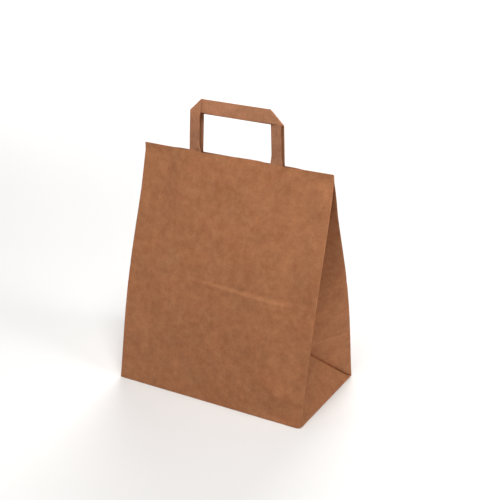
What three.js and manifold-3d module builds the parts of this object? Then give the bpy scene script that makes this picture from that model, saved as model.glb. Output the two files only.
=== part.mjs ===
// Paper carrier bag with flat folded handles. It stands open on its block bottom, and its mouth is
// pressed nearly shut, so that the side gussets fold inwards above the bottom corners.
// Units are millimetres and +Z is up. +X runs along the wide panels and -Y is the front.
// The origin is the middle of the footprint, on the surface that the bag stands on.

import * as THREE from 'three';
import { mergeVertices } from 'three/addons/utils/BufferGeometryUtils.js';
import Module from 'manifold-3d';

// Bag sheet
const BAG_WIDTH = 250;
const BAG_DEPTH = 144;
const PANEL_HEIGHT = 295; // along the paper, from the bottom fold to the cut lip
const PAPER = 0.2;
const FOLD_RADIUS = 0.35; // to the middle of the paper
const MOUTH_OPENING = 6.9; // between the middles of the two lips
const PINCHED_WIDTH = 32; // of each end of the mouth, where the lips lie on each other
const PINCHED_HEIGHT = 9; // of the shut gussets below the lip
const CREASE_DEPTH = 0.5; // of the crease that the folded bottom pressed into both panels in storage
const CREASE_REACH = 5; // of its two slopes, up and down the panel

// How far each panel bows out of its straight line at its left fold, its middle and its right fold
const FRONT_BOW = { left: 6.5, middle: 5, right: 2 };
const BACK_BOW = { left: 7, middle: 9, right: 9 };
const BOW_FULLNESS = 1.3; // 1 is a half sine wave, and higher values make a narrower bow

// Glued folds of the bag sheet
const BOTTOM_OVERLAP = 13; // how far each bottom flap passes the middle
const BOTTOM_ROUND = 0.4;
const CREASE_START = 3; // the diagonal creases begin this far from the bottom corners
const SEAM_LAP = 15;
const SEAM_RAMP = 8;
const SEAM_FROM_EDGE = 30;

// Handles, each a strip folded flat and mitred at its two corners
const STRIP_WIDTH = 15.3;
const STRIP_THICKNESS = 0.9;
const HANDLE_SPAN = 122.5; // over the outer edges of the two legs, at the lip
const HANDLE_SPREAD = 2; // degrees that each leg leans outwards, going down
const HANDLE_RISE = 63.5; // of the front handle above the lip
const BACK_HANDLE_DROP = 3;
const HANDLE_GRIP = 42; // length of each leg glued below the lip
const LIP_BEND_RADIUS = 9;
const MITRE_GAP = 0.1;

// Patches that hold the handles inside the panels
const PATCH_BESIDE_LEG = 9.75; // how far a patch passes the outer edge of each leg at the lip
const PATCH_WIDTH = HANDLE_SPAN + 2 * PATCH_BESIDE_LEG;
const PATCH_HEIGHT = 46;
const PATCH_BELOW_LIP = 4;
const PATCH_RAMP = 3;
const PATCH_MARGIN = 2; // of flat panel round the patch
const LEG_CLEARANCE = 0.4;
const GLUE = 0.15;

// Faceting
const FOLD_STEPS = 3;
const GUSSET_STEPS = 3;
const SHOULDER_STEPS = 5;
const FLAT_STEPS = 2;
const LOW_STEPS = 4;
const HIGH_STEPS = 4;
const BEND_STEPS = 6;
const MITRE_SIDES = 12;

const HALF_WIDTH = (BAG_WIDTH - PAPER) / 2; // to the middle of the paper
const HALF_DEPTH = (BAG_DEPTH - PAPER) / 2;
const PINCHED_GAP = 3 * FOLD_RADIUS; // four layers of paper lie on each other at a pinched corner
const WALL_FOOT = BOTTOM_ROUND;
const FLOOR = 3 * PAPER; // a gusset end, the front flap and the back flap
const CREASE_HEIGHT = 2 * HALF_DEPTH;
const BOW_HEIGHT = PANEL_HEIGHT - PATCH_BELOW_LIP - PATCH_HEIGHT - PATCH_MARGIN;
const FLAT_HALF = PATCH_WIDTH / 2 + PATCH_MARGIN;
const SHOULDER = HALF_WIDTH - PINCHED_WIDTH - FLAT_HALF;
const SPREAD = THREE.MathUtils.degToRad(HANDLE_SPREAD);
const LEG_CENTRE = (HANDLE_SPAN - STRIP_WIDTH) / 2; // at the lip
const FRONT = -1;
const BACK = 1;
const LEFT = -1;
const MIDDLE = 0;
const RIGHT = 1;

const KRAFT = { color: 0xa5714c, roughness: 0.85, metalness: 0 };

const wasm = await Module();
wasm.setup();

function solidFrom(geometry) {
  const bare = geometry.clone();
  bare.deleteAttribute('normal');
  bare.deleteAttribute('uv');
  const merged = mergeVertices(bare, 1e-4);
  const corners = merged.index.array;
  const kept = [];
  for (let i = 0; i < corners.length; i += 3) {
    const [a, b, c] = [corners[i], corners[i + 1], corners[i + 2]];
    if (a !== b && b !== c && c !== a) kept.push(a, b, c);
  }
  const vertProperties = merged.attributes.position.array;
  return new wasm.Manifold(new wasm.Mesh({ numProp: 3, vertProperties, triVerts: new Uint32Array(kept) }));
}

function geometryFrom(solid) {
  const { vertProperties, triVerts } = solid.getMesh();
  const geometry = new THREE.BufferGeometry();
  geometry.setAttribute('position', new THREE.BufferAttribute(vertProperties, 3));
  geometry.setIndex(new THREE.BufferAttribute(triVerts, 1));
  geometry.computeVertexNormals();
  return geometry;
}

function sheetMesh(name, geometry) {
  const mesh = new THREE.Mesh(geometry, new THREE.MeshStandardMaterial(KRAFT));
  mesh.name = name;
  return mesh;
}

const BOWS = {
  [FRONT]: { [LEFT]: FRONT_BOW.left, [MIDDLE]: FRONT_BOW.middle, [RIGHT]: FRONT_BOW.right },
  [BACK]: { [LEFT]: BACK_BOW.left, [MIDDLE]: BACK_BOW.middle, [RIGHT]: BACK_BOW.right },
};

function bowOf(face, place, height) {
  const share = Math.min(height / BOW_HEIGHT, 1);
  return BOWS[face][place] * Math.max(0, Math.sin(Math.PI * share)) ** BOW_FULLNESS;
}

// How far a long fold lies from the middle plane of the bag, at a height along the paper
function edgeGap(face, side, height) {
  const share = Math.min(height / (PANEL_HEIGHT - PINCHED_HEIGHT), 1);
  return THREE.MathUtils.lerp(HALF_DEPTH, PINCHED_GAP, share) + bowOf(face, side, height);
}

// How far the flat middle of a panel lies from that plane
function middleGap(face, height) {
  const straight = THREE.MathUtils.lerp(HALF_DEPTH, MOUTH_OPENING / 2, height / PANEL_HEIGHT);
  return straight + bowOf(face, MIDDLE, height);
}

// How deep the crease of the folded bottom is pressed into a panel
function creaseDip(height) {
  return CREASE_DEPTH * Math.max(0, 1 - Math.abs(height - CREASE_HEIGHT) / CREASE_REACH);
}

function gussetGap(side, height) {
  return (edgeGap(FRONT, side, height) + edgeGap(BACK, side, height)) / 2;
}

function gussetLean(side, height) {
  const step = 0.5;
  return (gussetGap(side, height - step) - gussetGap(side, height + step)) / (2 * step);
}

// The height above the wall's foot of a point that lies so far along the leaning paper
function riseOf(side, height) {
  const steps = 48;
  let rise = 0;
  for (let i = 0; i < steps; i += 1) {
    const lean = gussetLean(side, ((i + 0.5) / steps) * height);
    rise += Math.sqrt(1 - lean * lean) * (height / steps);
  }
  return rise;
}

// A fold is a belt turn round a thin pin: its centre, its height and the way that it turns
function edgePin(face, side, height) {
  return {
    x: side * (HALF_WIDTH - FOLD_RADIUS),
    y: face * (edgeGap(face, side, height) - creaseDip(height) - FOLD_RADIUS),
    z: WALL_FOOT + riseOf(side, height),
    turn: 1,
  };
}

// The inward fold of a gusset above the point of its bottom triangle. The paper keeps its length.
function valleyPin(side, height) {
  const lean = gussetLean(side, height);
  const upright = Math.sqrt(1 - lean * lean);
  const across = gussetGap(side, height) / HALF_DEPTH;
  const inward = HALF_DEPTH * Math.sqrt(Math.max(0, 1 - (across / upright) ** 2));
  return {
    x: side * (HALF_WIDTH - inward + FOLD_RADIUS),
    y: (edgeGap(BACK, side, height) - edgeGap(FRONT, side, height)) / 2,
    z: WALL_FOOT + riseOf(side, height) - (HALF_DEPTH * across * lean) / upright,
    turn: -1,
  };
}

// Below that point the fold splits into two creases that run down to the bottom corners
function creasePin(face, side, height) {
  if (height >= HALF_DEPTH) return valleyPin(side, height);
  const tip = valleyPin(side, HALF_DEPTH);
  const share = height / HALF_DEPTH;
  return {
    x: THREE.MathUtils.lerp(side * (HALF_WIDTH + FOLD_RADIUS), tip.x, share),
    y: THREE.MathUtils.lerp(face * (HALF_DEPTH - CREASE_START), tip.y, share),
    z: THREE.MathUtils.lerp(WALL_FOOT, tip.z, share),
    turn: -1,
  };
}

function pinsAt(height) {
  return [
    edgePin(FRONT, RIGHT, height),
    creasePin(FRONT, RIGHT, height),
    creasePin(BACK, RIGHT, height),
    edgePin(BACK, RIGHT, height),
    edgePin(BACK, LEFT, height),
    creasePin(BACK, LEFT, height),
    creasePin(FRONT, LEFT, height),
    edgePin(FRONT, LEFT, height),
  ];
}

const SLACK = 1e-6; // so that paper that runs straight past a pin isn't taken for a whole turn
const GUSSET_LEGS = [0, 2, 4, 6];
const CREASE_LEGS = { 1: Math.PI / 2, 5: -Math.PI / 2 }; // headings where two creases are one fold
const BACK_LEG = 3;
const FRONT_LEG = 7;

// The direction of the straight run of paper from one pin to the next
function heading(pins, leg) {
  const from = pins[leg];
  const to = pins[(leg + 1) % pins.length];
  const dx = to.x - from.x;
  const dy = to.y - from.y;
  const distance = Math.hypot(dx, dy);
  if (distance < FOLD_RADIUS / 100) return CREASE_LEGS[leg];
  return Math.atan2(dy, dx) + Math.asin(((from.turn - to.turn) * FOLD_RADIUS) / distance);
}

// How much a point of a panel follows the flat middle and not the line between the two long folds
function middleShare(x) {
  const past = THREE.MathUtils.clamp((Math.abs(x) - FLAT_HALF) / SHOULDER, 0, 1);
  return (1 + Math.cos(Math.PI * past)) / 2;
}

// Where a panel gets its columns of points: close together on the shoulders, far apart elsewhere
function panelStations() {
  const stations = [];
  for (let i = 0; i <= SHOULDER_STEPS; i += 1) {
    stations.push(FLAT_HALF + (SHOULDER * i) / SHOULDER_STEPS);
  }
  for (let i = 1; i < FLAT_STEPS; i += 1) {
    stations.push((FLAT_HALF * i) / FLAT_STEPS);
  }
  const mirrored = stations.map((x) => -x);
  return [...stations, 0, ...mirrored].sort((a, b) => a - b);
}

// The glued seam of the tube: its outer edge stands proud of the back panel by one sheet
const SEAM_EDGE = { x: SEAM_FROM_EDGE - HALF_WIDTH, lap: PAPER };
const SEAM_RISEN = { x: SEAM_EDGE.x + SEAM_LAP, lap: PAPER };
const SEAM_START = { x: SEAM_RISEN.x + SEAM_RAMP, lap: 0 };

function lapAt(x) {
  if (x <= SEAM_EDGE.x || x >= SEAM_START.x) return 0;
  return PAPER * Math.min(1, (SEAM_START.x - x) / SEAM_RAMP);
}

const FRONT_STATIONS = panelStations().map((x) => ({ x, lap: 0 }));
const BACK_STATIONS = [
  ...panelStations().map((x) => ({ x, lap: lapAt(x) })),
  SEAM_START,
  SEAM_RISEN,
  SEAM_EDGE,
  { x: SEAM_EDGE.x, lap: 0 },
].sort((a, b) => b.x - a.x || b.lap - a.lap);

// One row of the bag sheet, all the way round, at one height along the paper
function rowAt(height) {
  const pins = pinsAt(height);
  const row = [];
  const leave = (x, y, z, angle, lap = 0) => {
    row.push({ x, y, z, inX: -Math.sin(angle), inY: Math.cos(angle), lap });
  };
  pins.forEach((pin, index) => {
    const arrive = heading(pins, (index + pins.length - 1) % pins.length);
    const depart = heading(pins, index);
    const turned = THREE.MathUtils.euclideanModulo((depart - arrive) * pin.turn + SLACK, 2 * Math.PI) - SLACK;
    for (let i = 0; i <= FOLD_STEPS; i += 1) {
      const angle = arrive + pin.turn * turned * (i / FOLD_STEPS);
      const x = pin.x + pin.turn * FOLD_RADIUS * Math.sin(angle);
      const y = pin.y - pin.turn * FOLD_RADIUS * Math.cos(angle);
      leave(x, y, pin.z, angle);
    }
    const next = pins[(index + 1) % pins.length];
    const start = row[row.length - 1];
    const end = {
      x: next.x + next.turn * FOLD_RADIUS * Math.sin(depart),
      y: next.y - next.turn * FOLD_RADIUS * Math.cos(depart),
      z: next.z,
    };
    const along = (share) => ['x', 'y', 'z'].map((k) => THREE.MathUtils.lerp(start[k], end[k], share));
    if (GUSSET_LEGS.includes(index)) {
      for (let i = 1; i < GUSSET_STEPS; i += 1) {
        leave(...along(i / GUSSET_STEPS), depart);
      }
    }
    if (index === FRONT_LEG || index === BACK_LEG) {
      const face = index === FRONT_LEG ? FRONT : BACK;
      const stations = face === FRONT ? FRONT_STATIONS : BACK_STATIONS;
      for (const station of stations) {
        const [x, y, z] = along((station.x - start.x) / (end.x - start.x));
        const middle = face * (middleGap(face, height) - creaseDip(height));
        leave(x, THREE.MathUtils.lerp(y, middle, middleShare(x)), z, depart, station.lap);
      }
    }
  });
  return row;
}

// A skin of the sheet: its outer face, its inner face, or the outer face drawn in at the bottom fold
function skinOf(row, outward, height) {
  return row.map((point) => {
    const reach = outward > 0 ? outward + point.lap : outward;
    return new THREE.Vector3(point.x - point.inX * reach, point.y - point.inY * reach, height ?? point.z);
  });
}

// Even steps from one height up to the next, which itself is left out
function stepsBetween(low, high, steps) {
  return Array.from({ length: steps }, (_, i) => THREE.MathUtils.lerp(low, high, i / steps));
}

// Rows joined into a surface, up the outer rows and down the inner ones. Both skins split each of their
// four-cornered faces along the same diagonal, so that where the paper twists it keeps its thickness.
function loft(outerRows, innerRows) {
  const rows = [...outerRows, ...innerRows];
  const around = rows[0].length;
  const positions = rows.flat().flatMap((p) => [p.x, p.y, p.z]);
  const faces = [];
  for (let i = 0; i < rows.length - 1; i += 1) {
    for (let j = 0; j < around; j += 1) {
      const next = (j + 1) % around;
      const [a, b] = [i * around + j, i * around + next];
      const [c, d] = [a + around, b + around];
      if (i < outerRows.length) faces.push(a, b, d, a, d, c);
      else faces.push(a, b, c, b, d, c);
    }
  }
  return { positions, faces, around };
}

// The walls of the bag: up the outside, over the lip, down the inside and across both sides of the bottom
function shellGeometry() {
  const sheet = [
    ...stepsBetween(0, HALF_DEPTH, LOW_STEPS),
    ...stepsBetween(HALF_DEPTH, CREASE_HEIGHT - CREASE_REACH, LOW_STEPS),
    CREASE_HEIGHT - CREASE_REACH,
    CREASE_HEIGHT,
    ...stepsBetween(CREASE_HEIGHT + CREASE_REACH, BOW_HEIGHT, HIGH_STEPS),
    BOW_HEIGHT,
    PANEL_HEIGHT - PINCHED_HEIGHT,
    PANEL_HEIGHT,
  ].map(rowAt);
  const foot = sheet[0];
  const skin = PAPER / 2;
  const rounded = [Math.PI / 2, Math.PI / 4].map((angle) => {
    const inset = BOTTOM_ROUND * (1 - Math.cos(angle));
    return skinOf(foot, skin - inset, BOTTOM_ROUND * (1 - Math.sin(angle)));
  });
  const outside = [...rounded, ...sheet.map((row) => skinOf(row, skin))];
  const inside = sheet.map((row) => skinOf(row, -skin)).reverse();
  inside[inside.length - 1] = skinOf(foot, -skin, FLOOR);
  const { positions, faces, around } = loft(outside, inside);
  const closeWithFan = (first, z, flip) => {
    const centre = positions.length / 3;
    positions.push(0, 0, z);
    for (let j = 0; j < around; j += 1) {
      const [a, b] = [first + j, first + ((j + 1) % around)];
      faces.push(...(flip ? [b, a, centre] : [a, b, centre]));
    }
  };
  closeWithFan(0, 0, true);
  closeWithFan((outside.length + inside.length - 1) * around, FLOOR, false);
  const geometry = new THREE.BufferGeometry();
  geometry.setAttribute('position', new THREE.Float32BufferAttribute(positions, 3));
  geometry.setIndex(faces);
  return geometry;
}

// A flat cut under the bottom, of an outline seen from above
function underCut(outline, depth) {
  const shape = new THREE.Shape(outline.map(([x, y]) => new THREE.Vector2(x, y)));
  const below = 1;
  const cutter = new THREE.ExtrudeGeometry(shape, { depth: depth + below, bevelEnabled: false });
  cutter.translate(0, 0, -below);
  return solidFrom(cutter);
}

// The folded bottom seen from below: the back flap lies over the front flap, and both lie over the
// folded ends of the gussets, so each shows one sheet deeper than the last.
function bottomFlapCuts() {
  const past = 2;
  const cornerX = BAG_WIDTH / 2 + past;
  const cornerY = BAG_DEPTH / 2 + past;
  const meet = (BAG_WIDTH - BAG_DEPTH) / 2;
  const flapEnd = meet - BOTTOM_OVERLAP;
  const gussetEnd = (side) => [
    [side * cornerX, cornerY],
    [side * meet, 0],
    [side * cornerX, -cornerY],
  ];
  const frontFlap = [
    [-cornerX, -cornerY],
    [cornerX, -cornerY],
    [meet, 0],
    [flapEnd, -BOTTOM_OVERLAP],
    [-flapEnd, -BOTTOM_OVERLAP],
    [-meet, 0],
  ];
  return [
    underCut(gussetEnd(RIGHT), 2 * PAPER),
    underCut(gussetEnd(LEFT), 2 * PAPER),
    underCut(frontFlap, PAPER),
  ];
}

function bagBody() {
  let body = solidFrom(shellGeometry());
  for (const cut of bottomFlapCuts()) body = body.subtract(cut);
  return geometryFrom(body);
}

// The flat top of a panel, on its inner face: the lip, the lean and the directions along and out of it.
// Worked out as if the panel were the front one, since the back is built the same and turned round.
function panelTop(face) {
  const innerFace = (height) => ({
    y: PAPER / 2 - middleGap(face, height),
    z: WALL_FOOT + (riseOf(RIGHT, height) + riseOf(LEFT, height)) / 2,
  });
  const lip = innerFace(PANEL_HEIGHT);
  const low = innerFace(BOW_HEIGHT);
  const lean = Math.atan2(lip.y - low.y, lip.z - low.z);
  return {
    lip: new THREE.Vector3(0, lip.y, lip.z),
    lean,
    inward: new THREE.Vector3(0, Math.cos(lean), -Math.sin(lean)),
    upward: new THREE.Vector3(0, Math.sin(lean), Math.cos(lean)),
  };
}

// Side view of a leg: it follows the panel up to the lip and then bends upright
function legSection(top, end) {
  const half = STRIP_THICKNESS / 2;
  const middle = top.lip.clone().addScaledVector(top.inward, GLUE + half);
  const foot = middle.clone().addScaledVector(top.upward, -HANDLE_GRIP);
  const centre = middle.clone().addScaledVector(top.inward, -LIP_BEND_RADIUS);
  const shifted = (point, reach) => point.clone().addScaledVector(top.inward, reach);
  const section = new THREE.Shape();
  section.moveTo(shifted(foot, half).y, shifted(foot, half).z);
  section.lineTo(shifted(middle, half).y, shifted(middle, half).z);
  section.absarc(centre.y, centre.z, LIP_BEND_RADIUS + half, -top.lean, 0, false);
  section.lineTo(centre.y + LIP_BEND_RADIUS + half, end);
  section.lineTo(centre.y + LIP_BEND_RADIUS - half, end);
  section.absarc(centre.y, centre.z, LIP_BEND_RADIUS - half, 0, -top.lean, true);
  section.lineTo(shifted(foot, -half).y, shifted(foot, -half).z);
  return { section, uprightY: centre.y + LIP_BEND_RADIUS };
}

const SIDEWAYS = new THREE.Matrix4().makeBasis(
  new THREE.Vector3(0, 1, 0),
  new THREE.Vector3(0, 0, 1),
  new THREE.Vector3(1, 0, 0),
);

function legSolid(section, side, lipHeight) {
  const leg = new THREE.ExtrudeGeometry(section, {
    depth: STRIP_WIDTH,
    bevelEnabled: false,
    curveSegments: BEND_STEPS,
  });
  leg.applyMatrix4(SIDEWAYS);
  leg.translate(-STRIP_WIDTH / 2, 0, -lipHeight);
  leg.rotateY(-side * SPREAD);
  leg.translate(side * LEG_CENTRE, 0, lipHeight);
  return solidFrom(leg);
}

const UPRIGHT = new THREE.Matrix4().makeBasis(
  new THREE.Vector3(1, 0, 0),
  new THREE.Vector3(0, 0, 1),
  new THREE.Vector3(0, -1, 0),
);

// A plate of an outline in the XZ plane, from one depth to another
function uprightPlate(outline, fromY, toY) {
  const plate = new THREE.ExtrudeGeometry(new THREE.Shape(outline), {
    depth: toY - fromY,
    bevelEnabled: false,
  });
  plate.applyMatrix4(UPRIGHT);
  plate.translate(0, toY, 0);
  return solidFrom(plate);
}

// The line in the XZ plane on which the strip is folded over at one end of the grip
function mitreOf(side, lipHeight, crown) {
  const height = crown - STRIP_WIDTH / 2;
  const drift = (height - lipHeight) * Math.tan(SPREAD);
  const middle = new THREE.Vector2(side * (LEG_CENTRE - drift), height);
  const legUp = new THREE.Vector2(-side * Math.sin(SPREAD), Math.cos(SPREAD));
  const outwards = new THREE.Vector2(side, 0);
  const along = legUp.clone().sub(outwards).normalize();
  const half = STRIP_WIDTH / 2 / along.y;
  return {
    middle,
    along,
    half,
    across: legUp.add(outwards).normalize(),
    top: middle.clone().addScaledVector(along, half),
    bottom: middle.clone().addScaledVector(along, -half),
  };
}

// Everything beyond a mitre
function mitreOffcut(mitre, nearY, farY) {
  const reach = 2 * STRIP_WIDTH;
  const start = mitre.middle.clone().addScaledVector(mitre.along, -reach);
  const end = mitre.middle.clone().addScaledVector(mitre.along, reach);
  const outer = [end, start].map((p) => p.clone().addScaledVector(mitre.across, reach));
  return uprightPlate([start, end, ...outer], nearY, farY);
}

// The paper rolled round the mitre, which joins the leg to the grip behind it
function mitreRoll(mitre, y) {
  const radius = STRIP_THICKNESS + MITRE_GAP / 2;
  const roll = new THREE.CylinderGeometry(radius, radius, 2 * mitre.half, MITRE_SIDES);
  roll.rotateX(Math.PI / 2);
  roll.rotateY(Math.atan2(mitre.along.x, mitre.along.y));
  roll.translate(mitre.middle.x, y, mitre.middle.y);
  return solidFrom(roll);
}

// One strip folded into a handle: each leg goes up, turns over at a mitre and becomes the grip behind it
function handleGeometry(face, drop) {
  const top = panelTop(face);
  const lipHeight = top.lip.z;
  const crown = lipHeight + HANDLE_RISE - drop;
  const { section, uprightY } = legSection(top, crown + STRIP_WIDTH);
  const legBack = uprightY + STRIP_THICKNESS / 2;
  const gripFront = legBack + MITRE_GAP;
  const [left, right] = [LEFT, RIGHT].map((side) => mitreOf(side, lipHeight, crown));
  const grip = [left.bottom, right.bottom, right.top, left.top];
  const legs = [left, right].map((mitre, index) => {
    const leg = legSolid(section, [LEFT, RIGHT][index], lipHeight);
    const offcut = mitreOffcut(mitre, uprightY - STRIP_WIDTH, uprightY + STRIP_WIDTH);
    return leg.subtract(offcut).add(mitreRoll(mitre, legBack + MITRE_GAP / 2));
  });
  const handle = uprightPlate(grip, gripFront, gripFront + STRIP_THICKNESS);
  return geometryFrom(handle.add(legs[0]).add(legs[1]));
}

// A patch lies flat on the panel and rises over the two legs that it holds
function patchGeometry(face) {
  const top = panelTop(face);
  const low = GLUE;
  const high = GLUE + STRIP_THICKNESS + GLUE;
  const inner = HANDLE_SPAN / 2 - STRIP_WIDTH - LEG_CLEARANCE;
  const outer = HANDLE_SPAN / 2 + HANDLE_GRIP * Math.tan(SPREAD) + LEG_CLEARANCE;
  const half = [
    [inner - PATCH_RAMP, low],
    [inner, high],
    [outer, high],
    [outer + PATCH_RAMP, low],
    [PATCH_WIDTH / 2, low],
  ];
  const mirrored = half.map(([x, n]) => [-x, n]).reverse();
  const glued = [...mirrored, ...half];
  const facing = glued.map(([x, n]) => [x, n + PAPER]).reverse();
  const outline = [...glued, ...facing].map(([x, n]) => new THREE.Vector2(x, n));
  const patch = new THREE.ExtrudeGeometry(new THREE.Shape(outline), {
    depth: PATCH_HEIGHT,
    bevelEnabled: false,
  });
  patch.translate(0, 0, -PATCH_BELOW_LIP - PATCH_HEIGHT);
  const frame = new THREE.Matrix4().makeBasis(new THREE.Vector3(1, 0, 0), top.inward, top.upward);
  patch.applyMatrix4(frame.setPosition(top.lip));
  return geometryFrom(solidFrom(patch));
}

const bag = new THREE.Group();
bag.add(sheetMesh('bag_body', bagBody()));
bag.add(sheetMesh('front_handle', handleGeometry(FRONT, 0)));
bag.add(sheetMesh('front_patch', patchGeometry(FRONT)));

const backHalf = new THREE.Group();
backHalf.rotation.z = Math.PI;
backHalf.add(sheetMesh('back_handle', handleGeometry(BACK, BACK_HANDLE_DROP)));
backHalf.add(sheetMesh('back_patch', patchGeometry(BACK)));
bag.add(backHalf);

export default bag;
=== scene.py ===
# %% [markdown]
# # A paper carrier bag
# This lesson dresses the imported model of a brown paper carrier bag: one sheet of kraft paper folded into
# a tube with side gussets and a block bottom, and two flat paper handles glued inside the lips under
# paper patches. They are kept as they are, and the paper pieces that are made here lie exactly where the
# solids lie.

# %% Load the frame
import functools
import math
import bmesh
import bpy
from mathutils import Matrix, Vector, noise


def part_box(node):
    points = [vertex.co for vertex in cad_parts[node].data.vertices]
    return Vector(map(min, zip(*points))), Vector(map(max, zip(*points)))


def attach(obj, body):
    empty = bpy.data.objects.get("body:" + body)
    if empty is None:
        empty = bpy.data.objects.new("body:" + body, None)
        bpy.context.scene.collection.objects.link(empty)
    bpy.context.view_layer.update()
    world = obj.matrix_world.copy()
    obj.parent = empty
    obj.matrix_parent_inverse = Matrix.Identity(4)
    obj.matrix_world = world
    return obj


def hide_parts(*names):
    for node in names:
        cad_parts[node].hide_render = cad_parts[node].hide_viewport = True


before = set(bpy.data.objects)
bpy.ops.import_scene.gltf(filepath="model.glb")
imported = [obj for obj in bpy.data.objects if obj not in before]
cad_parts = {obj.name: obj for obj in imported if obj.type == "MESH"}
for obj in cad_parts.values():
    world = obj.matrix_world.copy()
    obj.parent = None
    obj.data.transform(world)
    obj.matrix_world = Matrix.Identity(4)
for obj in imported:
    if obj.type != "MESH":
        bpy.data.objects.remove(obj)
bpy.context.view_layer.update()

MM = 0.001
print("solids:", ", ".join(sorted(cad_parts)))

# %% [markdown]
# ## The camera
# The bag was photographed from a little above and from the right of its front. A camera can be aimed by
# hand, but this one is worked out from the outline of the bag: two angles, a small roll, a distance and
# a focal length that let the solids cover the photograph. Its three axes go straight into its matrix.

# %% Place the camera
AZIMUTH, ELEVATION, ROLL = (math.radians(a) for a in (28.8838, 22.7994, 0.2974))
LOOKED_AT = Vector((-23.03, 75.45, 138.58)) * MM
DISTANCE = 1385.6 * MM
FOCAL_LENGTH, SENSOR_WIDTH = 78.84, 36  # both in millimetres, as a camera takes them
NEAREST = 50 * MM

backwards = Vector((
    math.sin(AZIMUTH) * math.cos(ELEVATION),
    -math.cos(AZIMUTH) * math.cos(ELEVATION),
    math.sin(ELEVATION),
))
level_right = Vector((0, 0, 1)).cross(backwards).normalized()
level_up = backwards.cross(level_right)
right = level_right * math.cos(ROLL) + level_up * math.sin(ROLL)
up = level_up * math.cos(ROLL) - level_right * math.sin(ROLL)

lens = bpy.data.cameras.new("camera")
lens.lens = FOCAL_LENGTH
lens.sensor_width = SENSOR_WIDTH
lens.clip_start = NEAREST
camera = bpy.data.objects.new("camera", lens)
bpy.context.collection.objects.link(camera)
place = Matrix((right, up, backwards)).transposed().to_4x4()
place.translation = LOOKED_AT + backwards * DISTANCE
camera.matrix_world = place
bpy.context.scene.camera = camera
print("camera at, mm:", [round(v / MM) for v in place.translation])

# %% [markdown]
# ## The sheet, still open
# A bag machine folds a flat web of paper into a tube, presses in the gussets and closes the bottom. Its
# folds are easiest to draw while the bag is still an open box of full width and depth, where every
# crease is a straight line. So the sheet starts as a box without a lid, is cut along its creases in edit
# mode, gets its UV map there, and is folded afterwards. Heights are measured along the paper.

# %% The sizes of the sheet
WIDTH, DEPTH, HEIGHT = 250 * MM, 144 * MM, 295 * MM
PAPER = 0.2 * MM
FOLD_RADIUS = 0.35 * MM
HALF_WIDTH = (WIDTH - PAPER) / 2
HALF_DEPTH = (DEPTH - PAPER) / 2
FOLD_BAND = 1.1 * MM  # how much paper goes round a fold
CREASE_START = 3 * MM  # a slanted crease starts this far from the bottom corner
SEAM_EDGE, SEAM_RISEN, SEAM_START = (30 * MM - HALF_WIDTH + d * MM for d in (0, 15, 23))
BOTTOM_FOLD = 0.3 * MM
HAIR, SAME_PLACE = 1e-7, 1e-6  # metres: nearer than this to a plane is on it, to a point is that point


def select_only(*pieces):
    """Select these pieces and nothing else. The last of them becomes the active one."""
    bpy.ops.object.select_all(action="DESELECT")
    for piece in pieces:
        piece.select_set(True)
        bpy.context.view_layer.objects.active = piece


def with_nothing_selected(piece):
    """The mesh of a piece in edit mode, after everything in it is deselected."""
    shape = bmesh.from_edit_mesh(piece.data)
    for part in (*shape.verts, *shape.edges, *shape.faces):
        part.select = False
    return shape


def faces_where(piece, test):
    """Select the faces of a piece in edit mode whose middle and normal pass a test."""
    shape = with_nothing_selected(piece)
    for face in shape.faces:
        if test(face.calc_center_median(), face.normal):
            face.select_set(True)
    bmesh.update_edit_mesh(piece.data)


print("paper round the open box, mm:", round(4 * (HALF_WIDTH + HALF_DEPTH) / MM))

# %% Start with an open box
select_only()
bpy.ops.mesh.primitive_cube_add(size=1, location=(0, 0, HEIGHT / 2))
sheet = bpy.context.object
sheet.name = "paper_sheet"
sheet.scale = (2 * HALF_WIDTH, 2 * HALF_DEPTH, HEIGHT)
bpy.ops.object.transform_apply(location=True, rotation=True, scale=True)
bpy.ops.object.mode_set(mode="EDIT")
faces_where(sheet, lambda middle, normal: abs(normal.z) > 0.5)
bpy.ops.mesh.delete(type="FACE")
print("open box, mm:", [round(d / MM, 1) for d in sheet.dimensions])

# %% [markdown]
# ## The creases
# Bisect cuts the selected faces along a plane, as a ruler and a bone folder would. Each fold gets five
# lines close together, so that the paper can turn round it in a small arc. The gusset has one fold down
# its middle, and below half the depth of the bag it splits into two that run down to the bottom corners.

# %% Cut the sheet along its creases
BAND = [FOLD_BAND * share for share in (-0.5, -0.25, 0, 0.25, 0.5)]
GROOVE_REACH = 2.6 * MM  # a soft groove runs along each slanted crease, this far to both sides
GROOVE_CUTS = [reach * sign for reach in (1.4 * MM, GROOVE_REACH) for sign in (-1, 1)]
ACROSS, DEEP, UPRIGHT = Vector((1, 0, 0)), Vector((0, 1, 0)), Vector((0, 0, 1))


def everywhere(middle, normal):
    return True


def on_gusset(middle, normal):
    return abs(normal.x) > 0.5


def cut(piece, point, normal, test=everywhere):
    """Cut the faces that pass a test along a plane."""
    faces_where(piece, test)
    bpy.ops.mesh.bisect(plane_co=point, plane_no=normal, threshold=HAIR)


cut(sheet, UPRIGHT * HALF_DEPTH, UPRIGHT)
cut(sheet, DEEP * 0, DEEP)
for side in (-1, 1):
    for offset in BAND[:2] if side < 0 else BAND[3:]:
        cut(sheet, DEEP * offset, DEEP, lambda m, n: on_gusset(m, n) and m.z > HALF_DEPTH)
    start = DEEP * side * (HALF_DEPTH - CREASE_START)
    slant = (UPRIGHT * HALF_DEPTH - start).cross(ACROSS)
    for offset in BAND + GROOVE_CUTS:
        cut(sheet, start + DEEP * offset, slant,
            lambda m, n: on_gusset(m, n) and m.z < HALF_DEPTH and m.y * side > 0)
    for offset in BAND[3:]:
        cut(sheet, ACROSS * side * (HALF_WIDTH - offset), ACROSS)
        cut(sheet, DEEP * side * (HALF_DEPTH - offset), DEEP)
print("faces after the creases:", len(bmesh.from_edit_mesh(sheet.data).faces))

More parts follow.
